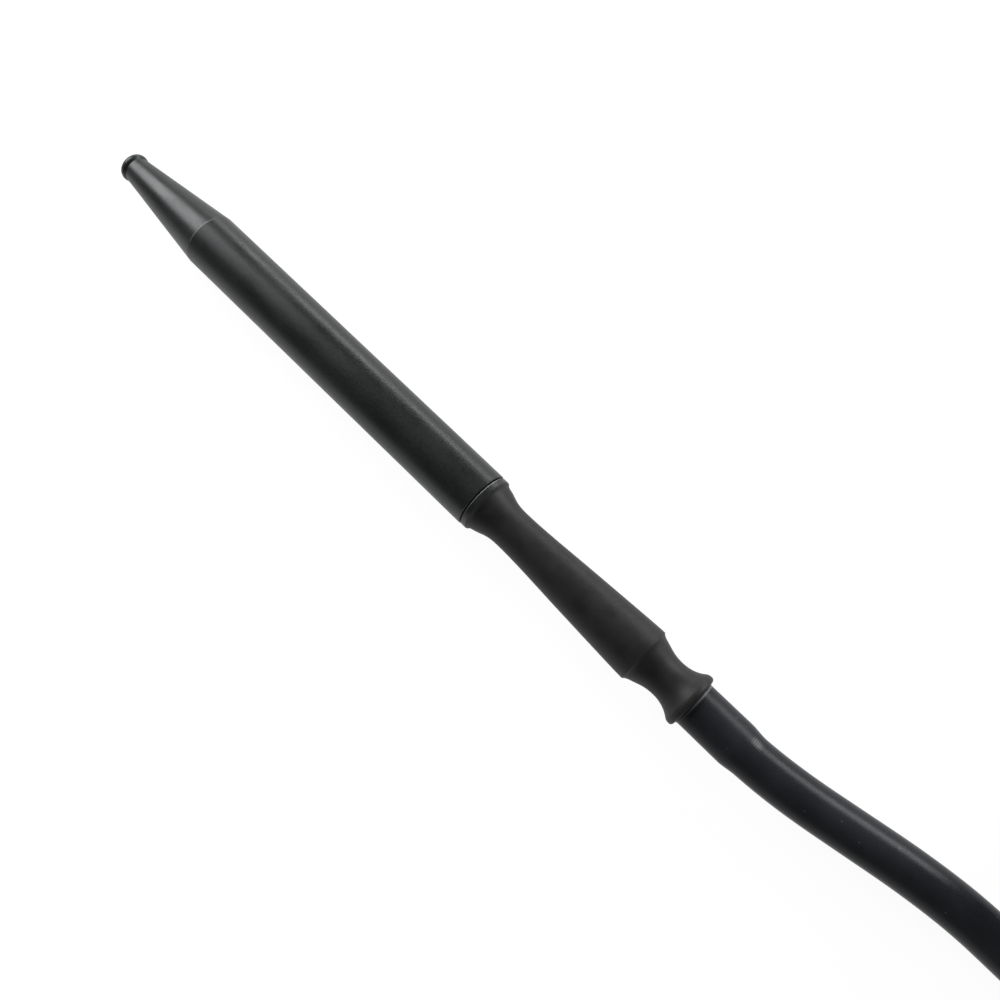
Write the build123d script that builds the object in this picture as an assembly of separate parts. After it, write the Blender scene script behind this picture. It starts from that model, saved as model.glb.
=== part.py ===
"""Handle and hose of a water pipe: a cooling barrel screwed to a grip, and a silicone hose.

Millimetres, +Z up. The handle lies on its barrel along X, the mouth end towards -X and the
hose towards +X. The origin is on the floor, under the middle of the handle without its hose.
Everything turned is drawn as an outline of (distance along the axis, radius), measured from
the seam between barrel and grip, and then moved to its place.
"""
from build123d import *
import math
import os

os.makedirs("parts", exist_ok=True)

# ---------------------------------------------------------------- driving dimensions
channel_r = 4.0            # smoke channel, the same all the way through
barrel_r = 12.5
barrel_length = 168.2
barrel_wall = 1.5
barrel_chamfer = 0.25      # at the barrel's end, along the seam
seam_gap = 0.6             # open groove between barrel and grip collar

cone_length = 52.4         # from the barrel to the neck behind the bead
neck_r = 6.0
bead_r = 6.6
bead_length = 3.9
bead_round = 1.4           # rounding of the bead towards the end face
nose_spigot_length = 14.0  # part of the nose that goes into the barrel tube
tip_socket_r = 4.6         # takes a push-in mouth tip
tip_socket_depth = 20.0
tip_lead = 0.4             # chamfer at the socket's mouth

pipe_wall = 1.0            # inner pipe round the channel
pipe_seat_depth = 9.0      # how far the pipe goes into the nose and into the rear plug
gel_headspace = 8.0        # room left for the gel to swell as it freezes

plug_length = 30.0
plug_recess = 0.2          # rear plug stays this far inside the barrel's end
ring_section = 1.8         # thickness of the O-rings of the barrel
small_ring_section = 1.2   # thickness of the O-rings on the inner pipe
ring_clearance = 0.05
nose_ring_inset = 4.0      # middle of a ring from the end of what it seals
plug_ring_inset = 5.0
pipe_ring_inset = 3.5

thread_pitch = 2.0
thread_root_r = 6.9
thread_height = 1.1
thread_root_width = 1.4
thread_crest_width = 0.5
thread_length = 10.0
thread_play = 0.17         # male to female, on the flanks and on the diameters
thread_relief = 2.5        # plain bottom of the threaded hole, past the spigot's end
neck_length = 2.2          # plain neck that carries the joint seal
neck_wall_r = 8.4
spigot_lead = 1.2          # plain end of the threaded spigot
seal_pocket_wall = 2.1     # pocket round the neck for the joint seal

collar_r = 12.3            # land behind the seam
collar_length = 2.5
collar_chamfer = 0.3
core_wall = 2.0
core_socket_depth = 10.0   # counterbore in the core for the barb's spigot
core_socket_wall = 0.95

grip_length = 108.4        # from the collar to the end face of the bell
grip_bore_clearance = 0.1
front_land = 0.25          # plain edge of the grip behind the collar
front_cove_r = 8.5
front_cove_length = 14.0   # from the collar to the cove's lowest place
crest_r = 11.85
crest_inset = 24.7         # from the bell's end face to the crest
waist_r = 8.15
waist_inset = 11.2         # from the bell's end face to the waist
bell_r = 11.75
bell_lip = 1.2             # radius of the bell's rolled lip
bell_recess_depth = 3.0    # the hose end sits this deep in the bell

barb_collar_r = 7.9
barb_collar_length = 5.0
barb_tooth = 0.55          # height of the teeth that stretch the hose
barb_teeth = 3
barb_nose = 4.0            # smooth end of a barb, ahead of its teeth
barb_land = 3.0            # plain start of a barb, at its collar or flange
barb_seat_gap = 0.4        # left between the barb's spigot and the bottom of its socket
barb_length = 24.8         # from the hose's end to the barb's end
washer_thickness = 1.0

hose_r = 8.7
hose_wall = 2.85
cuff_taper = 3.5           # length over which the stretched hose returns to size
fit_clearance = 0.05       # running and push fits, on the radius
seat_clearance = 0.2       # visible clearances, on the radius
butt_clearance = 0.1       # between faces that meet end to end
edge_break = 0.5           # chamfer on leading edges

hank_run = 156.0           # straight runs of the put-away hose
hank_fold_r = 52.2         # its end folds, to the hose's middle: three diameters
hank_entry = 44.0          # straight hose ahead of the hank that belongs to its solid
hose_lift = 0.1            # between the hose and what it lies on
tail_length = 25.0         # free hose on top of the hank, up to the rear cuff
tie_thickness = 1.0        # strap round the stacked runs
tie_width = 16.0
tie_inset = 4.0            # from the end of the run to the strap

connector_barb_length = 18.0
connector_cuff_length = 20.5
connector_flange_r = 9.2
connector_flange_length = 4.0
port_pin_r = 6.0
port_pin_length = 10.8     # free end of the pin, ahead of the grommet
grommet_neck_r = 5.6       # the grommet sits in this neck of the pin
grommet_length = 11.0
grommet_small_r = 7.3
grommet_large_r = 8.6
grommet_land = 2.0         # plain edge of the grommet at its large end

# ---------------------------------------------------------------- derived places
barrel_bore_r = barrel_r - barrel_wall
pipe_r = channel_r + pipe_wall
nose_joint_x = -barrel_length
tip_x = nose_joint_x - cone_length - bead_length
plug_front_x = -plug_recess - plug_length
nose_ring_x = nose_joint_x + nose_ring_inset
plug_ring_x = plug_front_x + plug_ring_inset
front_pipe_ring_x = nose_joint_x + nose_spigot_length - pipe_ring_inset
rear_pipe_ring_x = plug_front_x + pipe_ring_inset
collar_x = seam_gap
joint_ring_x = collar_x - neck_length / 2 - ring_clearance
grip_x = collar_x + collar_length
bell_x = grip_x + grip_length
hose_x = bell_x - bell_recess_depth
barb_collar_x = hose_x - butt_clearance - barb_collar_length
core_end_x = barb_collar_x - washer_thickness
barb_end_x = hose_x + barb_length
core_r = channel_r + core_wall
hose_bore_r = hose_r - hose_wall
barb_valley_r = hose_bore_r + 2 * fit_clearance
barb_r = barb_valley_r + barb_tooth
cuff_bore_r = barb_r + fit_clearance
cuff_r = cuff_bore_r + hose_wall
cuff_length = barb_length + edge_break + cuff_taper
thread_crest_r = thread_root_r + thread_height

seam_place = -(tip_x + barb_end_x) / 2   # puts the handle's middle over the origin
axis_z = barrel_r

# The hose's route from the handle to the hank, in the part's own frame.
lead_route = [
    (182.9, 0.0, 12.5),
    (192.9, 0.0, 12.5),
    (204.9, 1.3, 12.4),
    (226.9, 5.3, 11.6),
    (247.9, 9.4, 10.4),
    (267.9, 12.6, 9.85),
    (286.0, 12.6, 9.85),
]


# ---------------------------------------------------------------- helpers
def place(shape):
    """Move a shape drawn about the X axis from the seam to its place in the part."""
    return Pos(seam_place, 0, axis_z) * shape


def turned(points):
    """Solid of revolution about X with a straight-sided outline of (x, radius) points."""
    return revolve(make_face(Polyline(*points, close=True)), Axis.X, 360)


def tube(x0, x1, outer, inner):
    return turned([(x0, inner), (x1, inner), (x1, outer), (x0, outer)])


def o_ring(x, inner, section):
    """Round seal whose inside radius is inner, centred at x."""
    middle = inner + section / 2
    profile = Pos(x, middle) * Circle(section / 2)
    return revolve(profile, Axis.X, 360)


def write(name, shape):
    shape.label = name
    export_step(shape, f"parts/{name}.step")


# ---------------------------------------------------------------- screw thread
def helical_ridge(start, turns, inner_r, outer_r, play):
    """Ridge of the joint's thread, from inner_r to outer_r, widened by play on each flank."""
    slope = (thread_root_width - thread_crest_width) / thread_height

    def width(radius):
        return thread_root_width - slope * (radius - thread_root_r) + 2 * play

    path = Helix(pitch=thread_pitch, height=turns * thread_pitch, radius=inner_r)
    profile = Polyline(
        (0, -width(inner_r) / 2),
        (outer_r - inner_r, -width(outer_r) / 2),
        (outer_r - inner_r, width(outer_r) / 2),
        (0, width(inner_r) / 2),
        close=True,
    )
    section = Plane(origin=path @ 0, x_dir=(1, 0, 0), z_dir=path % 0) * make_face(profile)
    ridge = sweep(section, path=path, is_frenet=True)
    return Pos(start, 0, 0) * Rot(0, 90, 0) * ridge


thread_front_x = collar_x - neck_length - thread_length    # mouth side of the male thread
thread_turns = thread_length / thread_pitch - 0.5
spigot_end_x = thread_front_x - spigot_lead


# ---------------------------------------------------------------- barrel
def nose_cone():
    """Beaded mouth end, cone and the spigot that plugs the front of the barrel tube."""
    neck_x = tip_x + bead_length
    spigot_x = nose_joint_x + nose_spigot_length
    spigot_r = barrel_bore_r - fit_clearance
    seat_r = pipe_r + fit_clearance
    seat_x = spigot_x - pipe_seat_depth
    bead = [
        Line((tip_x, tip_socket_r + tip_lead), (tip_x, bead_r - bead_round)),
        ThreePointArc(
            (tip_x, bead_r - bead_round),
            (tip_x + bead_length / 2, bead_r),
            (neck_x, neck_r),
        ),
    ]
    rest = Polyline(
        (neck_x, neck_r),
        (nose_joint_x, barrel_r),
        (nose_joint_x, spigot_r),
        (spigot_x - edge_break, spigot_r),
        (spigot_x, spigot_r - edge_break),
        (spigot_x, seat_r),
        (seat_x, seat_r),
        (seat_x, channel_r),
        (tip_x + tip_socket_depth, channel_r),
        (tip_x + tip_socket_depth, tip_socket_r),
        (tip_x + tip_lead, tip_socket_r),
        (tip_x, tip_socket_r + tip_lead),
    )
    body = revolve(make_face(Curve() + bead + rest), Axis.X, 360)
    ring_r = barrel_bore_r - ring_section
    groove = tube(*ring_span(nose_ring_x, ring_section), spigot_r + 1, ring_r - ring_clearance)
    pipe_groove = tube(
        *ring_span(front_pipe_ring_x, small_ring_section),
        pipe_r + small_ring_section + ring_clearance,
        pipe_r - ring_clearance,
    )
    return body - groove - pipe_groove


def ring_span(x, section):
    """Both ends of the groove for a ring of this section."""
    half = section / 2 + 2 * ring_clearance
    return x - half, x + half


def barrel_tube():
    return turned([
        (nose_joint_x + butt_clearance / 2, barrel_bore_r),
        (0, barrel_bore_r),
        (0, barrel_r - barrel_chamfer),
        (-barrel_chamfer, barrel_r),
        (nose_joint_x + butt_clearance / 2, barrel_r),
    ])


def inner_pipe():
    start = nose_joint_x + nose_spigot_length - pipe_seat_depth + butt_clearance
    end = plug_front_x + pipe_seat_depth - butt_clearance
    return tube(start, end, pipe_r, channel_r)


def gel_charge():
    """Freezable filling round the pipe, with room left for it to swell at the front."""
    start = nose_joint_x + nose_spigot_length + gel_headspace
    end = plug_front_x - butt_clearance
    return tube(start, end, barrel_bore_r - fit_clearance, pipe_r + fit_clearance)


def rear_plug():
    """Closes the back of the barrel, holds the pipe and carries the female thread."""
    plug_r = barrel_bore_r - fit_clearance
    minor_r = thread_root_r + thread_play
    seal_pocket_r = neck_wall_r + seal_pocket_wall
    pocket_x = collar_x - neck_length - butt_clearance
    socket_x = spigot_end_x - thread_relief
    seat_x = plug_front_x + pipe_seat_depth
    body = turned([
        (plug_front_x, pipe_r + fit_clearance),
        (seat_x, pipe_r + fit_clearance),
        (seat_x, channel_r),
        (pocket_x, channel_r),
        (pocket_x, seal_pocket_r),
        (-plug_recess, seal_pocket_r),
        (-plug_recess, plug_r),
        (plug_front_x, plug_r),
    ])
    ring_r = barrel_bore_r - ring_section
    groove = tube(*ring_span(plug_ring_x, ring_section), plug_r + 1, ring_r - ring_clearance)
    pipe_groove = tube(
        *ring_span(rear_pipe_ring_x, small_ring_section),
        pipe_r + small_ring_section + ring_clearance,
        pipe_r - ring_clearance,
    )
    thread = helical_ridge(
        thread_front_x - thread_pitch,
        thread_turns + 3,
        thread_root_r - 0.2,
        thread_crest_r + thread_play,
        thread_play,
    )
    threaded_hole = tube(socket_x, pocket_x + 1, minor_r, 0) + thread
    return body - groove - pipe_groove - threaded_hole


# ---------------------------------------------------------------- grip
def stem():
    """Threaded spigot, neck, collar and the core tube that runs through the grip."""
    socket_r = core_r - core_socket_wall
    body = turned([
        (spigot_end_x, channel_r),
        (core_end_x - core_socket_depth, channel_r),
        (core_end_x - core_socket_depth, socket_r),
        (core_end_x, socket_r),
        (core_end_x, core_r),
        (grip_x, core_r),
        (grip_x, collar_r - collar_chamfer / 2),
        (grip_x - collar_chamfer / 2, collar_r),
        (collar_x + collar_chamfer, collar_r),
        (collar_x, collar_r - collar_chamfer),
        (collar_x, neck_wall_r),
        (collar_x - neck_length, neck_wall_r),
        (collar_x - neck_length, thread_root_r),
        (spigot_end_x + edge_break, thread_root_r),
        (spigot_end_x, thread_root_r - edge_break),
    ])
    thread = helical_ridge(
        thread_front_x, thread_turns, thread_root_r - 0.1, thread_crest_r, 0
    )
    return body + thread


def grip_sleeve():
    """Soft turned grip: a cove behind the collar, a swelling belly, a crest, a waist, a bell."""
    bore_r = core_r + grip_bore_clearance
    x = grip_x
    front = (x + front_land, collar_r - butt_clearance)
    cove_x = x + front_cove_length
    drop = collar_r - front_cove_r
    cove = Spline(
        front,
        (x + 0.24 * front_cove_length, front_cove_r + 0.58 * drop),
        (x + 0.53 * front_cove_length, front_cove_r + 0.22 * drop),
        (cove_x, front_cove_r),
        tangents=[(0.55, -1), (1, 0)],
    )
    crest_x = bell_x - crest_inset
    rise = crest_r - front_cove_r
    belly = Spline(
        (cove_x, front_cove_r),
        (cove_x + 0.37 * (crest_x - cove_x), front_cove_r + 0.33 * rise),
        (cove_x + 0.83 * (crest_x - cove_x), front_cove_r + 0.85 * rise),
        (crest_x, crest_r),
        tangents=[(1, 0), (1, 0.02)],
    )
    waist_x = bell_x - waist_inset
    fall = crest_r - waist_r
    flare = bell_r - waist_r
    waist = Spline(
        (crest_x, crest_r),
        (crest_x + 0.29 * (waist_x - crest_x), waist_r + 0.46 * fall),
        (crest_x + 0.54 * (waist_x - crest_x), waist_r + 0.16 * fall),
        (waist_x, waist_r),
        (waist_x + 0.37 * waist_inset, waist_r + 0.24 * flare),
        (waist_x + 0.64 * waist_inset, waist_r + 0.69 * flare),
        (bell_x - bell_lip, bell_r),
        tangents=[(0.8, -1), (1, 0)],
    )
    rim_r = bell_r - bell_lip
    lip = JernArc((bell_x - bell_lip, bell_r), (1, 0), bell_lip, -90)
    recess_r = cuff_r + seat_clearance
    seat_r = barb_collar_r + seat_clearance
    inside = Polyline(
        (bell_x, rim_r),
        (bell_x, recess_r),
        (hose_x, recess_r),
        (hose_x, seat_r),
        (barb_collar_x - butt_clearance, seat_r),
        (barb_collar_x - butt_clearance, bore_r),
        (x + butt_clearance / 2, bore_r),
        (x + butt_clearance / 2, collar_r - butt_clearance),
        front,
    )
    outline = Curve() + [cove, belly, waist, lip, inside]
    return revolve(make_face(outline), Axis.X, 360)


def barb_outline(start, length, step):
    """Outside of a hose barb from start, in the direction of step (+1 or -1): three teeth."""
    pitch = (length - barb_nose) / barb_teeth
    points = [(start, barb_valley_r), (start + step * barb_land, barb_valley_r)]
    for tooth in range(barb_teeth):
        foot = barb_land + tooth * pitch
        points.append((start + step * foot, barb_r))
        points.append((start + step * (foot + pitch), barb_valley_r))
    points.append((start + step * length, barb_valley_r - edge_break))
    return points


def hose_barb():
    """Screwed into the core: its collar holds the grip, its teeth hold the hose."""
    spigot_r = core_r - core_socket_wall - fit_clearance
    spigot_end = core_end_x - core_socket_depth + barb_seat_gap
    outline = [
        (spigot_end, channel_r),
        (barb_end_x, channel_r),
    ]
    outline += reversed(barb_outline(hose_x - butt_clearance, barb_length + butt_clearance, 1))
    outline += [
        (hose_x - butt_clearance, barb_collar_r - edge_break),
        (hose_x - butt_clearance - edge_break, barb_collar_r),
        (barb_collar_x, barb_collar_r),
        (barb_collar_x, spigot_r),
        (spigot_end, spigot_r),
    ]
    return turned(outline)


def barb_washer():
    inner = core_r - core_socket_wall
    play = butt_clearance / 4
    return tube(core_end_x + play, barb_collar_x - play, core_r - 0.1, inner)


# ---------------------------------------------------------------- hose
def cuff(length):
    """End of the hose, stretched over a barb: from its end face at 0 towards +X."""
    stretched = length - cuff_taper
    return turned([
        (0, cuff_bore_r),
        (stretched, cuff_bore_r),
        (length, hose_bore_r),
        (length, hose_r),
        (stretched, cuff_r),
        (edge_break, cuff_r),
        (0, cuff_r - edge_break),
    ])


def corner_radii(route):
    """Radius at each inner point: 0.45 of the shorter run over the tangent of half the turn."""
    points = [Vector(*p) for p in route]
    radii = []
    for before, point, after in zip(points, points[1:], points[2:]):
        run_in = point - before
        run_out = after - point
        half_turn = math.radians(run_in.get_angle(run_out)) / 2
        radii.append(0.45 * min(run_in.length, run_out.length) / math.tan(half_turn))
    return radii


def hose_tube(name, route):
    """Hollow hose along a route, with its volume compared with section times length."""
    radii = corner_radii(route)
    path = FilletPolyline(*route, radius=radii)
    section = Plane(origin=path @ 0, z_dir=path % 0) * (Circle(hose_r) - Circle(hose_bore_r))
    hose = sweep(section, path=path)
    expected = math.pi * (hose_r**2 - hose_bore_r**2) * path.length
    smallest = min(radii)
    print(f"{name}: length {path.length:.1f}, radii {[round(r) for r in radii]}, "
          f"smallest {smallest / (2 * hose_r):.1f} diameters, "
          f"volume {hose.volume / expected:.4f} of section times length")
    return hose, path.length


hank_x = lead_route[-1][0] + hank_entry                # middle of the folds near the handle
hank_y = lead_route[-1][1]                             # the runs nearer to the handle's axis
level_1 = tie_thickness + fit_clearance + hose_lift + hose_r
level_2 = level_1 + 2 * hose_r + hose_lift
level_3 = level_2 + hose_r + cuff_r + hose_lift + fit_clearance
hose_end_x = hank_x + tail_length + connector_cuff_length


def stacked_hose(low, high, radius):
    """Section of hoses on each other, their middles from low to high, drawn as (across, up)."""
    return Pos(0, (low + high) / 2) * Rot(0, 0, 90) * SlotCenterToCenter(high - low, 2 * radius)


def hank_straight(across, length, low, high, radius=hose_r):
    """Straight run of stacked hoses towards +X from the folds near the handle."""
    section = Plane.YZ * stacked_hose(low, high, radius)
    return Pos(hank_x, across, 0) * extrude(section, length, dir=(1, 0, 0))


def hank_fold(x, start, turn, high):
    """Stacked hoses round the end of the hank at x, from the angle start, through a turn."""
    section = Plane.XZ * Pos(hank_fold_r, 0) * stacked_hose(level_1, high, hose_r)
    fold = revolve(section, Axis.Z, turn)
    return Pos(x, hank_y + hank_fold_r, 0) * Rot(0, 0, start) * fold


def hose_hank():
    """Outer shape of the put-away hose: two turns on each other, and the way up to a third."""
    across = 2 * hank_fold_r
    hank = hank_straight(hank_y, hank_run, level_1, level_2)
    hank += hank_straight(hank_y + across, hank_run, level_1, level_2)
    hank += hank_fold(hank_x + hank_run, -90, 180, level_2)
    hank += hank_fold(hank_x, 90, 90, level_2)
    hank += hank_fold(hank_x, 180, 90, level_3)
    entry = Plane.YZ * Circle(hose_r)
    hank += Pos(hank_x - hank_entry, hank_y, level_1) * extrude(entry, hank_entry, dir=(1, 0, 0))
    return hank


def hose_tie():
    """Strap round the two runs and the tail that lie on each other."""
    inner = hose_r + fit_clearance
    outer = inner + tie_thickness
    strap = hank_straight(hank_y, tie_width, level_1, level_3, outer)
    strap -= hank_straight(hank_y, tie_width, level_1, level_3, inner)
    return Pos(tie_inset, 0, 0) * strap


def hose_connector():
    """Barbed plug for the water pipe: barb into the hose towards -X, plain pin towards +X."""
    flange_x = butt_clearance
    neck_x = flange_x + connector_flange_length
    pin_x = neck_x + grommet_length + 2 * butt_clearance
    end_x = pin_x + port_pin_length
    barb = barb_outline(0, connector_barb_length, -1)
    outline = [(-connector_barb_length, channel_r)] + list(reversed(barb)) + [
        (flange_x, barb_valley_r),
        (flange_x, connector_flange_r - edge_break),
        (flange_x + edge_break, connector_flange_r),
        (neck_x - edge_break, connector_flange_r),
        (neck_x, connector_flange_r - edge_break),
        (neck_x, grommet_neck_r),
        (pin_x, grommet_neck_r),
        (pin_x, port_pin_r),
        (end_x - edge_break, port_pin_r),
        (end_x, port_pin_r - edge_break),
        (end_x, channel_r),
    ]
    return turned(outline)


def port_grommet():
    """Silicone cone on the pin that seals in the water pipe's port."""
    start = butt_clearance + connector_flange_length + butt_clearance
    inner = grommet_neck_r + fit_clearance
    end = start + grommet_length
    return turned([
        (start, inner),
        (end, inner),
        (end, grommet_small_r),
        (start + grommet_land, grommet_large_r),
        (start, grommet_large_r),
    ])


# ---------------------------------------------------------------- write every piece
write("nose_cone", place(nose_cone()))
write("nose_seal", place(o_ring(nose_ring_x, barrel_bore_r - ring_section, ring_section)))
write("barrel_tube", place(barrel_tube()))
write("inner_pipe", place(inner_pipe()))
for end_name, ring_x in (("front", front_pipe_ring_x), ("rear", rear_pipe_ring_x)):
    write(f"pipe_seal_{end_name}", place(o_ring(ring_x, pipe_r, small_ring_section)))
write("gel_charge", place(gel_charge()))
write("rear_plug", place(rear_plug()))
write("plug_seal", place(o_ring(plug_ring_x, barrel_bore_r - ring_section, ring_section)))
write("joint_seal", place(o_ring(joint_ring_x, neck_wall_r + ring_clearance, ring_section)))
write("stem", place(stem()))
write("grip_sleeve", place(grip_sleeve()))
write("hose_barb", place(hose_barb()))
write("barb_washer", place(barb_washer()))

write("hose_cuff_front", place(Pos(hose_x, 0, 0) * cuff(cuff_length)))
lead, lead_length = hose_tube("hose_lead", lead_route)
write("hose_lead", lead)
write("hose_hank", hose_hank())
write("hose_tie", hose_tie())
at_tail = Pos(hank_x, hank_y, level_3)
at_hose_end = Pos(hose_end_x, hank_y, level_3)
write("hose_tail", at_tail * tube(0, tail_length, hose_r, hose_bore_r))
write("hose_cuff_rear", at_hose_end * Rot(0, 0, 180) * cuff(connector_cuff_length))
write("hose_connector", at_hose_end * hose_connector())
write("port_grommet", at_hose_end * port_grommet())

turns_length = 4 * hank_run + 4 * math.pi * hank_fold_r
hose_length = (cuff_length + lead_length + hank_entry + turns_length
               + tail_length + connector_cuff_length)
print(f"seam at x {seam_place:.2f}, handle from {tip_x + seam_place:.2f} "
      f"to {barb_end_x + seam_place:.2f}")
print(f"hose length {hose_length:.0f}, hank from x {hank_x:.1f} to {hank_x + hank_run:.1f} "
      f"and from y {hank_y:.1f} to {hank_y + 2 * hank_fold_r:.1f} at the hose's middle")
print(f"levels {level_1:.2f} {level_2:.2f} {level_3:.2f}, hose end at x {hose_end_x:.2f}")
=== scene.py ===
"""Looks of the water pipe handle and its hose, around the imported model. Metres, +Z up.

The handle lies along X on the floor, the mouth end towards -X. The hose is one hollow mesh that
follows its own smooth route, from inside the bell, through the tied hank, to the connector.
"""

import math

import bpy
import numpy as np
from mathutils import Matrix, Vector


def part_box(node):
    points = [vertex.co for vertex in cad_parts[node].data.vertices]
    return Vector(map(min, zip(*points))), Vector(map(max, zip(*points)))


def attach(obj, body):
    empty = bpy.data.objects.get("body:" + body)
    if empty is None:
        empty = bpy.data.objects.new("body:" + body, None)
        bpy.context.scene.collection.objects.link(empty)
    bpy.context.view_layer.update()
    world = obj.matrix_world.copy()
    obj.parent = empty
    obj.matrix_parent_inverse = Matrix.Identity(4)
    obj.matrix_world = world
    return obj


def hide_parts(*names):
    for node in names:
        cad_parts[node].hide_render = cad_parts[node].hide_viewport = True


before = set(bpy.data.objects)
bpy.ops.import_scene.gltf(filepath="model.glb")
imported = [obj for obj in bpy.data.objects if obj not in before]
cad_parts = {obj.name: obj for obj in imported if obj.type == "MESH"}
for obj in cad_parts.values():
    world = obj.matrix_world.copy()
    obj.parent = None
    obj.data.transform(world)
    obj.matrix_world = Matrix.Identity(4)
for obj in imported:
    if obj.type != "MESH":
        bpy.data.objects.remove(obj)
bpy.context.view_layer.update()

MM = 0.001
Y, Z = Vector((0, 1, 0)), Vector((0, 0, 1))

# ---------------------------------------------------------------- places from the frame
barrel_low, barrel_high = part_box("barrel_tube")
axis_z = (barrel_low.z + barrel_high.z) / 2
seam_x = barrel_high.x                        # end of the barrel, at the open groove
cone_x = barrel_low.x                         # ring where the cone meets the barrel
bell_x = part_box("grip_sleeve")[1].x           # end face of the bell
hose_start = Vector((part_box("hose_cuff_front")[0].x, 0, axis_z))
barb_end_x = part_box("hose_barb")[1].x
collar_x = seam_x + 0.6 * MM                  # front face of the grip's collar

# ---------------------------------------------------------------- the hose
HOSE_R = 8.7 * MM
HOSE_BORE_R = 5.85 * MM
CUFF_R = 9.4 * MM                             # stretched over a barb
CUFF_BORE_R = 6.55 * MM
CUFF_TAPER = 3.5 * MM                         # from a cuff's bore to the hose's, past the barb
OUTSIDE_TAPER = 6.7 * MM                      # from a cuff's outside to the hose's
TAPER_LEAD = 1.5 * MM                         # both start this far before the barb's end
REAR_CUFF = 20.5 * MM
END_EDGE = 0.5 * MM                           # rounding of both end faces
BELL_ROLL = (0.15 * MM, 0.5 * MM, 0.3 * MM)   # small roll at the bell: height, place, half width

# Where the wall folds a little, in millimetres past the barb's end and in degrees round the
# hose from its right side: depth, place, half length, side, half width in radians.
DENTS = [
    (0.08, 3.8, 4.0, 150, 0.55),
    (0.12, 3.0, 2.4, 330, 0.80),
]
CREASES = (0.020, 2.2, 2.4, 128, 0.30)        # fine cross wrinkles in the upper dent
CREASE_PITCH = 0.95 * MM

# The route's points, in millimetres: from the bell to the tie, then inside the tied hank.
LEAD = [
    (154.1, 0.0, 12.5),
    (167.6, 0.0, 12.5),
    (186.5, 0.0, 12.5),
    (205.5, 2.0, 12.2),
    (227.0, 5.9, 11.1),
    (250.0, 10.1, 9.7),
    (272.0, 12.6, 9.1),
    (292.0, 12.6, 9.2),
    (312.0, 12.6, 9.7),
]
LOW, MIDDLE, TOP = 8.8, 26.3, 45.6            # heights of the hank's three layers
TIED_LOW, TIED_MIDDLE = 9.85, 27.35           # and inside the tie, which lifts them a little
TIED_X = 352.0                                # the tie's far side
HANK_Y = 12.6
FOLD_R = 52.2
LEFT_X, RIGHT_X = 330.0, 486.0                # middles of the hank's folds
FOLD_STEP = 15                                # degrees between a fold's points
CLIMB = (115, 245)                            # degrees of the left fold over which it climbs
HOSE_END = (375.5, 12.6, 45.6)


def fold_points(middle_x, start, low, high):
    """Points of a half turn. A smooth line runs inside its points, so they stand out."""
    stand_out = 1 / (0.5 + 0.5 * math.cos(math.radians(FOLD_STEP / 2)) ** 2)
    points = []
    for step in range(180 // FOLD_STEP):
        degrees = start + FOLD_STEP * (step + 0.5)
        angle = math.radians(degrees)
        points.append((
            middle_x + FOLD_R * stand_out * math.cos(angle),
            HANK_Y + FOLD_R + FOLD_R * stand_out * math.sin(angle),
            low + (high - low) * float(smoothstep(degrees, *CLIMB)),
        ))
    return points


def hose_points():
    """The whole route: the lead, two turns of the hank, and the end that lies on top of them."""
    points = LEAD + [(TIED_X, HANK_Y, TIED_LOW)]
    points += fold_points(RIGHT_X, -90, LOW, LOW)
    points += fold_points(LEFT_X, 90, LOW, TIED_MIDDLE)
    points += [(TIED_X, HANK_Y, TIED_MIDDLE)]
    points += fold_points(RIGHT_X, -90, MIDDLE, MIDDLE)
    points += fold_points(LEFT_X, 90, MIDDLE, TOP)
    return points + [(TIED_X, HANK_Y, TOP), HOSE_END]


def smooth_route(points):
    """The points that a smooth NURBS line follows, read from the line itself."""
    curve = bpy.data.curves.new("hose_route", "CURVE")
    curve.dimensions = "3D"
    curve.resolution_u = 24
    spline = curve.splines.new("NURBS")
    spline.points.add(len(points) - 1)
    for target, point in zip(spline.points, points):
        target.co = (*(c * MM for c in point), 1)
    spline.order_u = 3
    spline.use_endpoint_u = True
    line = bpy.data.objects.new("hose_route", curve)
    bpy.context.scene.collection.objects.link(line)
    mesh = bpy.data.meshes.new_from_object(line)
    route = np.array([v.co for v in mesh.vertices], float)
    bpy.data.objects.remove(line)
    bpy.data.meshes.remove(mesh)
    return route


def run_lengths(route):
    """Distance along the route to each of its points."""
    steps = np.linalg.norm(np.diff(route, axis=0), axis=1)
    return np.concatenate([[0], np.cumsum(steps)])


def smoothstep(value, start, end):
    """Rises smoothly from 0 at the start to 1 at the end."""
    t = np.clip((value - start) / (end - start), 0, 1)
    return t * t * (3 - 2 * t)


def bump(value, middle, width):
    """A bell curve of height 1."""
    return np.exp(-((value - middle) / width) ** 2)


def stretched(distance, total, taper):
    """How far the hose is stretched over its barbs: 1 on a barb, 0 away from both."""
    barb_end = barb_end_x - hose_start.x
    rear = total - REAR_CUFF
    front = 1 - smoothstep(distance, barb_end - TAPER_LEAD, barb_end + taper)
    back = smoothstep(distance, rear, rear + CUFF_TAPER)
    return np.maximum(front, back)


def fold_patch(distance, angle, place, length, side, width):
    """A soft patch of 0..1 on the hose, just past the barb's end."""
    middle = barb_end_x - hose_start.x + place * MM
    turned = np.abs((angle - math.radians(side) + math.pi) % (2 * math.pi) - math.pi)
    return bump(distance, middle, length * MM) * bump(turned, 0, width)


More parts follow.
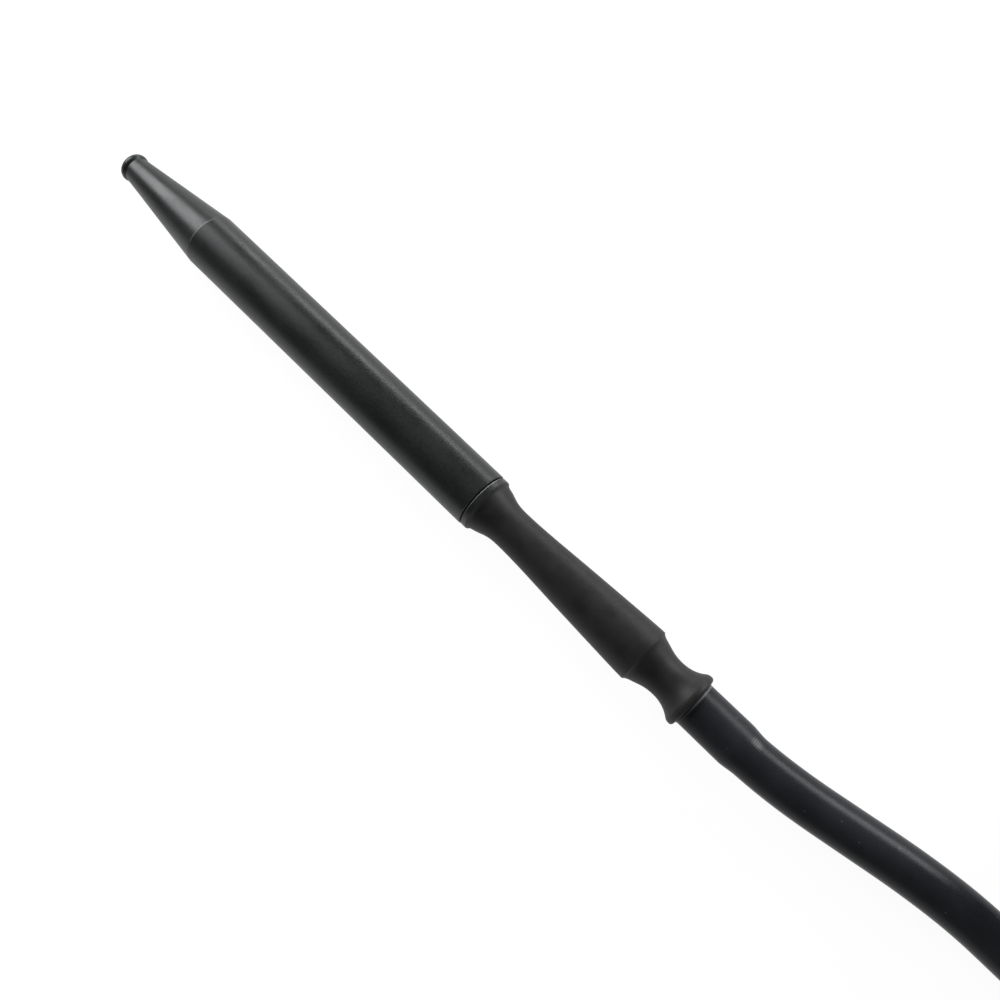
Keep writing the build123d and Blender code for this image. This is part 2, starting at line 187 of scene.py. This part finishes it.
def hose_outside(distance, angle, total):
    """Outside radius at a distance along the hose and an angle round it (0 is its right side)."""
    radius = HOSE_R + (CUFF_R - HOSE_R) * stretched(distance, total, OUTSIDE_TAPER)
    for depth, *patch in DENTS:
        radius = radius - depth * MM * fold_patch(distance, angle, *patch)
    height, *patch = CREASES
    wave = np.cos(distance / CREASE_PITCH * 2 * math.pi)
    radius = radius + height * MM * wave * fold_patch(distance, angle, *patch)
    roll_height, roll_place, roll_width = BELL_ROLL
    radius = radius + roll_height * bump(distance, bell_x - hose_start.x + roll_place, roll_width)
    for gap in (distance, total - distance):
        inset = np.clip(1 - gap / END_EDGE, 0, 1)
        radius = radius - END_EDGE * (1 - np.sqrt(1 - inset**2))
    return radius


def hose_inside(distance, total):
    """Inside radius at a distance along the hose."""
    return HOSE_BORE_R + (CUFF_BORE_R - HOSE_BORE_R) * stretched(distance, total, CUFF_TAPER)


def rings_along(route, distances, radius_at, sides):
    """Rows of points: one ring for each distance along the route."""
    along = run_lengths(route)

    def place(at):
        return np.stack([np.interp(at, along, route[:, k]) for k in range(3)], axis=1)

    centre = place(distances)
    reach = 1.5 * MM
    tangent = place(distances + reach) - place(distances - reach)
    tangent /= np.linalg.norm(tangent, axis=1)[:, None]
    right = np.cross(tangent, np.array(Z))
    right /= np.linalg.norm(right, axis=1)[:, None]
    up = np.cross(right, tangent)
    angle = np.linspace(0, 2 * math.pi, sides, endpoint=False)
    radius = radius_at(distances[:, None], angle[None, :])
    across = np.cos(angle)[None, :, None] * right[:, None, :]
    upward = np.sin(angle)[None, :, None] * up[:, None, :]
    return centre[:, None, :] + radius[:, :, None] * (across + upward)


def bridge(first, second, sides):
    """Faces between two rings, given the index of each one's first point."""
    return [
        (first + k, first + (k + 1) % sides, second + (k + 1) % sides, second + k)
        for k in range(sides)
    ]


def hose_mesh(route, total):
    """Hollow hose: the outside, both end faces, and the bore as far in as it can be seen."""
    sides = 72
    near = 90 * MM              # as far as the folds and the close look go
    fine_step, coarse_step = 0.3 * MM, 2.0 * MM
    edge_start = np.linspace(0, 2 * fine_step, 8)
    fine = np.arange(0, near, fine_step)[2:]
    coarse = np.linspace(near, total - coarse_step, int((total - near) / coarse_step))
    edge_end = np.linspace(total - coarse_step, total, 12)[1:]
    outside_at = np.unique(np.concatenate([edge_start, fine, coarse, edge_end]))
    seen_bore = 45 * MM
    inside_at = np.linspace(0, seen_bore, 40)

    def outer(distance, angle):
        return hose_outside(distance, angle, total)

    def inner(distance, angle):
        return hose_inside(distance, total) + 0 * angle

    outside = rings_along(route, outside_at, outer, sides)
    front_bore = rings_along(route, inside_at, inner, sides)
    rear_bore = rings_along(route, total - inside_at[::-1], inner, sides)
    rows = np.concatenate([front_bore[::-1], outside, rear_bore[::-1]])
    points = rows.reshape(-1, 3)
    faces = []
    for row in range(len(rows) - 1):
        faces += bridge(row * sides, (row + 1) * sides, sides)
    faces.append(tuple(reversed(range(sides))))
    faces.append(tuple(range(len(points) - sides, len(points))))
    mesh = bpy.data.meshes.new("hose")
    mesh.from_pydata(points.tolist(), [], [tuple(reversed(f)) for f in faces])
    mesh.update()
    mesh.shade_smooth()
    return mesh


def add_object(name, mesh, material):
    """Puts a mesh with its material in the scene."""
    piece = bpy.data.objects.new(name, mesh)
    bpy.context.scene.collection.objects.link(piece)
    mesh.materials.append(material)
    return piece


# ---------------------------------------------------------------- material helpers
class Nodes:
    """A material being made: its node tree and its shader."""

    def __init__(self, name, colour, roughness, metallic=0.0, specular=0.5):
        self.material = bpy.data.materials.new(name)
        self.material.use_nodes = True
        self.tree = self.material.node_tree
        self.shader = self.tree.nodes["Principled BSDF"]
        self.put(
            self.shader,
            Base_Color=colour,
            Roughness=roughness,
            Metallic=metallic,
            Specular_IOR_Level=specular,
        )
        self.place = self.add("ShaderNodeTexCoord").outputs["Object"]

    def add(self, kind, **settings):
        node = self.tree.nodes.new(kind)
        for key, value in settings.items():
            setattr(node, key, value)
        return node

    def link(self, source, target):
        self.tree.links.new(source, target)

    def feed(self, socket, value):
        """Links another socket to this one, or sets its value; a colour is three numbers."""
        if isinstance(value, bpy.types.NodeSocket):
            self.link(value, socket)
        elif socket.type == "RGBA":
            socket.default_value = (*value, 1)
        else:
            socket.default_value = value

    def put(self, node, **values):
        """Feeds a node's inputs by name."""
        for key, value in values.items():
            self.feed(node.inputs[key.replace("_", " ")], value)

    def math(self, operation, first, second=0.0, third=0.0):
        node = self.add("ShaderNodeMath", operation=operation)
        for socket, value in zip(node.inputs, (first, second, third)):
            self.feed(socket, value)
        return node.outputs[0]

    def both(self, first, second):
        """Product of two values."""
        return self.math("MULTIPLY", first, second)

    def away(self, value, middle):
        """How far a value is from a middle."""
        return self.math("ABSOLUTE", self.math("SUBTRACT", value, middle))

    def wave(self, value, pitch):
        """Sine of -1..1 that repeats at this pitch."""
        return self.math("SINE", self.math("MULTIPLY", value, 2 * math.pi / pitch))

    def blend(self, first, share, second):
        """A share of the first value and the rest of the second."""
        return self.math("MULTIPLY_ADD", first, share, self.math("MULTIPLY", second, 1 - share))

    def noise(self, size, detail=3.0, stretch=(1, 1, 1)):
        """Noise with features of about this size, stretched by these factors."""
        scaled = self.add("ShaderNodeMapping")
        self.link(self.place, scaled.inputs["Vector"])
        scaled.inputs["Scale"].default_value = tuple(1 / s for s in stretch)
        node = self.add("ShaderNodeTexNoise")
        self.put(node, Vector=scaled.outputs[0], Scale=1 / size, Detail=detail)
        return node.outputs["Fac"]

    def cells(self, size):
        """Voronoi cells of about this size."""
        node = self.add("ShaderNodeTexVoronoi", feature="F1")
        self.put(node, Vector=self.place, Scale=1 / size)
        return node

    def ramp(self, value, low, high, to_low=0.0, to_high=1.0, smooth=True):
        """Maps low..high of a value to to_low..to_high, and clamps it."""
        node = self.add("ShaderNodeMapRange")
        node.interpolation_type = "SMOOTHSTEP" if smooth else "LINEAR"
        self.put(node, Value=value, From_Min=low, From_Max=high, To_Min=to_low, To_Max=to_high)
        return node.outputs[0]

    def mix(self, factor, first, second):
        """Colour between two colours. A mix node's colour sockets follow those of other types."""
        node = self.add("ShaderNodeMix", data_type="RGBA")
        for index, value in ((0, factor), (6, first), (7, second)):
            self.feed(node.inputs[index], value)
        return node.outputs[2]

    def along(self, axis):
        """Place along one axis of the piece."""
        split = self.add("ShaderNodeSeparateXYZ")
        self.link(self.place, split.inputs[0])
        return split.outputs[axis]

    def round_axis(self):
        """Angle round the handle's axis, from its left side (+Y) upwards."""
        return self.math("ARCTAN2", self.math("SUBTRACT", self.along("Z"), axis_z), self.along("Y"))

    def raise_by(self, height, distance, strength=1.0):
        """Bump from a height of 0..1, times a distance in metres; one after another add up."""
        node = self.add("ShaderNodeBump")
        self.put(node, Strength=strength, Distance=distance, Height=height)
        normal = self.shader.inputs["Normal"]
        if normal.is_linked:
            self.link(normal.links[0].from_socket, node.inputs["Normal"])
        self.link(node.outputs[0], normal)

    def colour(self, socket):
        self.link(socket, self.shader.inputs["Base Color"])

    def rough(self, socket):
        self.link(socket, self.shader.inputs["Roughness"])


def grey(value, tint=(1, 1, 1)):
    """A grey, or a tinted one."""
    return tuple(value * t for t in tint)


COOL = (0.88, 1.0, 1.02)            # the anodised parts are faintly green-blue
COOL_SHEEN = (0.96, 1.0, 1.005)     # and so is the light that they reflect


def anodised(name):
    """Satin black anodised aluminium: blasted grain, faint turning marks, cloudy sheen.

    The edge of the ring between the cone and the barrel carries a painted highlight on its upper, lit
    side.
    """
    m = Nodes(name, grey(0.010, COOL), 0.38, specular=0.5)
    m.put(m.shader, Specular_Tint=COOL_SHEEN)
    grain = m.noise(0.75 * MM, detail=2.0)
    cloud = m.noise(9 * MM, detail=3.0, stretch=(2.2, 1, 1))
    turning = m.noise(0.30 * MM, detail=2.0, stretch=(1, 400, 400))
    tone = m.blend(grain, 0.5, cloud)
    metal = m.mix(m.ramp(tone, 0.3, 0.7), grey(0.0055, COOL), grey(0.0155, COOL))
    # painted highlight: a pale line along the ring where the cone meets the barrel, on the upper side
    # where the light falls
    ring_highlight_edge = m.ramp(m.away(m.along("X"), cone_x), 0.12 * MM, 0.42 * MM, 0.8, 0.0)
    lit_upper_side = m.ramp(m.away(m.round_axis(), math.radians(85)), 0.25, 0.80, 1.0, 0.08)
    m.colour(m.mix(m.both(ring_highlight_edge, lit_upper_side), metal, grey(0.20, COOL)))
    m.rough(m.ramp(tone, 0.3, 0.7, 0.32, 0.44))
    m.raise_by(grain, 0.009 * MM)
    m.raise_by(turning, 0.002 * MM)
    return m


def collar_metal():
    """The stem: anodised outside, with its front chamfer pale like bare metal and a painted highlight
    on it, strongest on the lit left side.
    """
    m = anodised("collar_anodised")
    x = m.along("X")
    behind_face = m.ramp(x, collar_x - 0.02 * MM, collar_x + 0.03 * MM)
    before_band = m.ramp(x, collar_x + 0.26 * MM, collar_x + 0.36 * MM, 1.0, 0.0)
    # painted highlight: the chamfer is pale all round and brightest on the lit left (+Y) side
    lit_side = m.ramp(m.along("Y"), -8 * MM, 9 * MM, 0.35, 1.0)
    chamfer_highlight = m.both(m.both(behind_face, before_band), lit_side)
    dark = m.shader.inputs["Base Color"].links[0].from_socket
    m.colour(m.mix(chamfer_highlight, dark, grey(0.42)))
    return m


def turned_aluminium():
    """Bare turned aluminium of the parts inside: fine rings from the tool."""
    m = Nodes("turned_aluminium", grey(0.55), 0.32, metallic=1.0)
    rings = m.noise(0.16 * MM, detail=2.0, stretch=(1, 500, 500))
    cloud = m.noise(6 * MM)
    m.colour(m.mix(m.ramp(cloud, 0.3, 0.7), grey(0.50), grey(0.62)))
    m.rough(m.ramp(rings, 0.3, 0.7, 0.24, 0.42))
    m.raise_by(rings, 0.010 * MM)
    return m


def soft_touch():
    """Soft-touch coating of the grip: matte neutral black, very fine tooth, faint handling marks."""
    m = Nodes("soft_touch", grey(0.020), 0.50, specular=0.28)
    tooth = m.noise(0.12 * MM, detail=2.0)
    cloud = m.noise(7 * MM, detail=4.0)
    m.colour(m.mix(m.ramp(cloud, 0.3, 0.7), grey(0.017), grey(0.024)))
    m.rough(m.ramp(m.blend(tooth, 0.4, cloud), 0.3, 0.7, 0.45, 0.55))
    m.raise_by(tooth, 0.008 * MM)
    m.raise_by(cloud, 0.02 * MM, 0.5)
    return m


def silicone():
    """Satin blue-black silicone: smooth cloudy skin with a few specks of dust.

    It has a painted highlight in a thin ring at the bell, strongest on its lit left side, and painted
    highlights in fine lines across the fold past the barb.
    """
    m = Nodes("hose_silicone", (0.0235, 0.0250, 0.0295), 0.26, specular=0.15)
    x = m.along("X")
    skin = m.noise(0.5 * MM, detail=3.0)
    cloud = m.noise(12 * MM, detail=4.0)
    body = m.mix(m.ramp(cloud, 0.3, 0.7), (0.0205, 0.0222, 0.0262), (0.0275, 0.0292, 0.0340))

    # painted highlight: a thin pale ring just past the bell's end, brightest on the lit left (+Y) side
    bell_highlight_ring = m.ramp(m.away(x, bell_x + 0.7 * MM), 0.2 * MM, 0.55 * MM, 0.9, 0.0)
    lit_side = m.ramp(m.along("Y"), -9 * MM, 8 * MM, 0.15, 1.0)
    body = m.mix(m.both(bell_highlight_ring, lit_side), body, (0.20, 0.21, 0.22))

    # painted highlight: pale lines across the fold past the barb, only on the side where the light
    # falls
    fold_length = m.ramp(m.away(x, barb_end_x + 3.4 * MM), 0.8 * MM, 3.2 * MM, 0.7, 0.0)
    fold_highlight_side = m.ramp(m.away(m.round_axis(), math.radians(51)), 0.06, 0.26, 1.0, 0.0)
    fold_highlight_lines = m.ramp(m.wave(x, 0.85 * MM), -0.7, 0.7, 0.35, 1.0)
    fold = m.both(fold_highlight_side, m.both(fold_length, fold_highlight_lines))
    body = m.mix(fold, body, (0.20, 0.205, 0.20))

    cells = m.cells(2.2 * MM)
    lot = m.add("ShaderNodeSeparateXYZ")
    m.link(cells.outputs["Color"], lot.inputs[0])
    speck_size = m.ramp(lot.outputs["X"], 0.80, 1.0, 0.0, 0.15, smooth=False)
    dust = m.math("LESS_THAN", cells.outputs["Distance"], speck_size)
    m.colour(m.mix(m.math("MULTIPLY", dust, 0.60), body, (0.14, 0.15, 0.16)))

    over_barb = m.ramp(x, barb_end_x - 2 * MM, barb_end_x + 12 * MM, 0.06, 0.0)
    m.rough(m.math("ADD", m.ramp(skin, 0.3, 0.7, 0.26, 0.33), over_barb))
    m.raise_by(skin, 0.0015 * MM)
    m.raise_by(cloud, 0.05 * MM, 0.5)
    return m


def rubber(name, value, roughness):
    """Matte moulded rubber of the seals and the grommet, with a pale bloom in its pores."""
    m = Nodes(name, grey(value), roughness, specular=0.4)
    pores = m.noise(0.25 * MM, detail=3.0)
    bloom = m.noise(3 * MM, detail=4.0)
    m.colour(m.mix(m.ramp(bloom, 0.35, 0.75), grey(value), grey(value * 1.6)))
    m.rough(m.ramp(pores, 0.3, 0.7, roughness - 0.06, roughness + 0.06))
    m.raise_by(pores, 0.012 * MM)
    return m


def gel():
    """Water-based cooling gel: pale blue, with small bubbles."""
    m = Nodes("cooling_gel", (0.20, 0.45, 0.60), 0.12, specular=0.5)
    rim = m.ramp(m.cells(1.5 * MM).outputs["Distance"], 0.1, 0.3)
    m.colour(m.mix(rim, (0.55, 0.75, 0.85), (0.16, 0.42, 0.58)))
    m.raise_by(rim, 0.05 * MM)
    return m


def woven_strap():
    """Woven strap of the hose tie: yarns that cross, each one rounded, with a little fuzz."""
    m = Nodes("woven_strap", grey(0.030), 0.85, specular=0.2)
    yarn = 0.9 * MM
    across = m.wave(m.along("X"), yarn)
    down = m.wave(m.math("ADD", m.along("Y"), m.along("Z")), yarn)
    weave = m.math("MULTIPLY_ADD", m.both(across, down), 0.5, 0.5)
    fuzz = m.noise(0.12 * MM, detail=3.0)
    m.colour(m.mix(m.ramp(m.blend(weave, 0.6, fuzz), 0.1, 0.9), grey(0.012), grey(0.045)))
    m.rough(m.ramp(fuzz, 0.3, 0.7, 0.75, 0.95))
    m.raise_by(weave, 0.12 * MM)
    m.raise_by(fuzz, 0.03 * MM)
    return m


def dress(node, made):
    """Gives a CAD node its material."""
    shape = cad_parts[node]
    shape.data.materials.clear()
    shape.data.materials.append(made.material)


# ---------------------------------------------------------------- the object
def make_hose():
    """One hollow mesh along the whole route, in place of the hose's five solids."""
    route = smooth_route(hose_points())
    total = run_lengths(route)[-1]
    hose = add_object("silicone_hose", hose_mesh(route, total), silicone().material)
    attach(hose, "hose")
    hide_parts("hose_cuff_front", "hose_lead", "hose_hank", "hose_tail", "hose_cuff_rear")


def dress_nodes():
    """Every node that stays visible gets its material."""
    wardrobe = [
        (anodised("anodised_black"), ["nose_cone", "barrel_tube", "hose_connector"]),
        (turned_aluminium(), ["inner_pipe", "rear_plug", "hose_barb"]),
        (collar_metal(), ["stem"]),
        (soft_touch(), ["grip_sleeve"]),
        (rubber("nitrile", 0.012, 0.45), [
            "nose_seal", "plug_seal", "joint_seal", "pipe_seal_front", "pipe_seal_rear", "barb_washer",
        ]),
        (rubber("grommet_silicone", 0.024, 0.5), ["port_grommet"]),
        (gel(), ["gel_charge"]),
        (woven_strap(), ["hose_tie"]),
    ]
    for made, nodes in wardrobe:
        for node in nodes:
            dress(node, made)


# ---------------------------------------------------------------- stage
def light_switch(tree, seen, reflected):
    """A share for rays from the camera, and another for those in a reflection or through glass."""
    path = tree.nodes.new("ShaderNodeLightPath")
    shown = None
    for name, share in (
        ("Is Camera Ray", seen), ("Is Glossy Ray", reflected), ("Is Transmission Ray", reflected)
    ):
        part = tree.nodes.new("ShaderNodeMath")
        part.operation = "MULTIPLY"
        tree.links.new(path.outputs[name], part.inputs[0])
        part.inputs[1].default_value = share
        if shown is None:
            shown = part.outputs[0]
            continue
        both = tree.nodes.new("ShaderNodeMath")
        both.operation = "MAXIMUM"
        tree.links.new(shown, both.inputs[0])
        tree.links.new(part.outputs[0], both.inputs[1])
        shown = both.outputs[0]
    return shown


def make_floor():
    """Pale floor that shows as white, apart from the object's shadow."""
    size = 6.0                  # metres each way from the middle
    mesh = bpy.data.meshes.new("floor")
    corners = [(-size, -size, 0), (size, -size, 0), (size, size, 0), (-size, size, 0)]
    mesh.from_pydata(corners, [], [(0, 1, 2, 3)])
    material = bpy.data.materials.new("floor_white")
    material.use_nodes = True
    tree = material.node_tree
    paint = tree.nodes["Principled BSDF"]
    paint.inputs["Base Color"].default_value = (0.9, 0.9, 0.9, 1)
    paint.inputs["Roughness"].default_value = 0.9
    paint.inputs["Specular IOR Level"].default_value = 0.0
    glow = tree.nodes.new("ShaderNodeEmission")
    glow.inputs["Color"].default_value = (1, 1, 1, 1)
    glow.inputs["Strength"].default_value = 1.10
    mixed = tree.nodes.new("ShaderNodeMixShader")
    tree.links.new(light_switch(tree, seen=0.86, reflected=0.62), mixed.inputs[0])
    tree.links.new(paint.outputs[0], mixed.inputs[1])
    tree.links.new(glow.outputs[0], mixed.inputs[2])
    tree.links.new(mixed.outputs[0], tree.nodes["Material Output"].inputs["Surface"])
    floor = add_object("floor", mesh, material)


def make_world():
    """White backdrop for the camera; for the object, a white horizon under a dim ceiling."""
    world = bpy.data.worlds.new("studio")
    bpy.context.scene.world = world
    world.use_nodes = True
    tree = world.node_tree
    path = tree.nodes.new("ShaderNodeLightPath")
    sky = tree.nodes.new("ShaderNodeTexCoord")
    split = tree.nodes.new("ShaderNodeSeparateXYZ")
    tree.links.new(sky.outputs["Generated"], split.inputs[0])
    height = tree.nodes.new("ShaderNodeMapRange")
    height.interpolation_type = "SMOOTHSTEP"
    for name, value in (("From Min", 0.0), ("From Max", 0.32), ("To Min", 0.70), ("To Max", 0.13)):
        height.inputs[name].default_value = value
    tree.links.new(split.outputs["Z"], height.inputs["Value"])
    strength = tree.nodes.new("ShaderNodeMath")
    strength.operation = "MAXIMUM"
    tree.links.new(height.outputs[0], strength.inputs[0])
    tree.links.new(path.outputs["Is Camera Ray"], strength.inputs[1])
    tree.links.new(strength.outputs[0], tree.nodes["Background"].inputs["Strength"])
    tree.nodes["Background"].inputs["Color"].default_value = (1, 1, 1, 1)


# name, direction from the handle, distance, width and height in metres, brightness
SOFTBOXES = [
    ("side_strip_left", (-0.46, 0.875, 0.14), 1.6, 0.80, 0.24, 7.6),
    ("side_strip_right", (0.061, 0.988, 0.14), 1.6, 1.10, 0.24, 4.2),
    ("side_panel", (0.315, 0.89, 0.32), 1.6, 0.75, 0.55, 8.0),
    ("overhead_left", (-0.840, 0.165, 0.515), 1.5, 0.93, 0.66, 8.4),
]


def facing(place, right, back):
    """Where a lamp or the camera stands, from its place and its own right and back."""
    axes = Matrix((right, back.cross(right), back)).transposed().to_4x4()
    return Matrix.Translation(place) @ axes


def make_softbox(name, direction, distance, width, height, radiance):
    """Area lamp that faces the handle. Its power follows from its size and its brightness."""
    lamp = bpy.data.lights.new(name, "AREA")
    lamp.shape = "RECTANGLE"
    lamp.size = width
    lamp.size_y = height
    lamp.energy = radiance * math.pi * width * height
    holder = bpy.data.objects.new(name, lamp)
    bpy.context.scene.collection.objects.link(holder)
    back = Vector(direction).normalized()
    right = Z.cross(back).normalized()
    holder.matrix_world = facing(back * distance, right, back)


def make_camera():
    """Close above the handle and turned, as the photographer stood."""
    tilt, turn = math.radians(13.0), math.radians(43.6)
    aim = Vector((51.0, 5.1, 12.5)) * MM
    distance = 372.2 * MM
    level = Vector((math.cos(tilt), 0, -math.sin(tilt)))
    back = Vector((math.sin(tilt), 0, math.cos(tilt)))
    right = math.cos(turn) * level + math.sin(turn) * Y
    camera = bpy.data.objects.new("camera", bpy.data.cameras.new("camera"))
    bpy.context.scene.collection.objects.link(camera)
    camera.matrix_world = facing(aim + back * distance, right, back)
    camera.data.sensor_width = 36
    camera.data.lens = 33.876
    camera.data.clip_start = 0.01
    camera.data.clip_end = 50
    bpy.context.scene.camera = camera


make_camera()
make_hose()
dress_nodes()
make_floor()
make_world()
for softbox in SOFTBOXES:
    make_softbox(*softbox)

bpy.context.scene.view_settings.view_transform = "Standard"
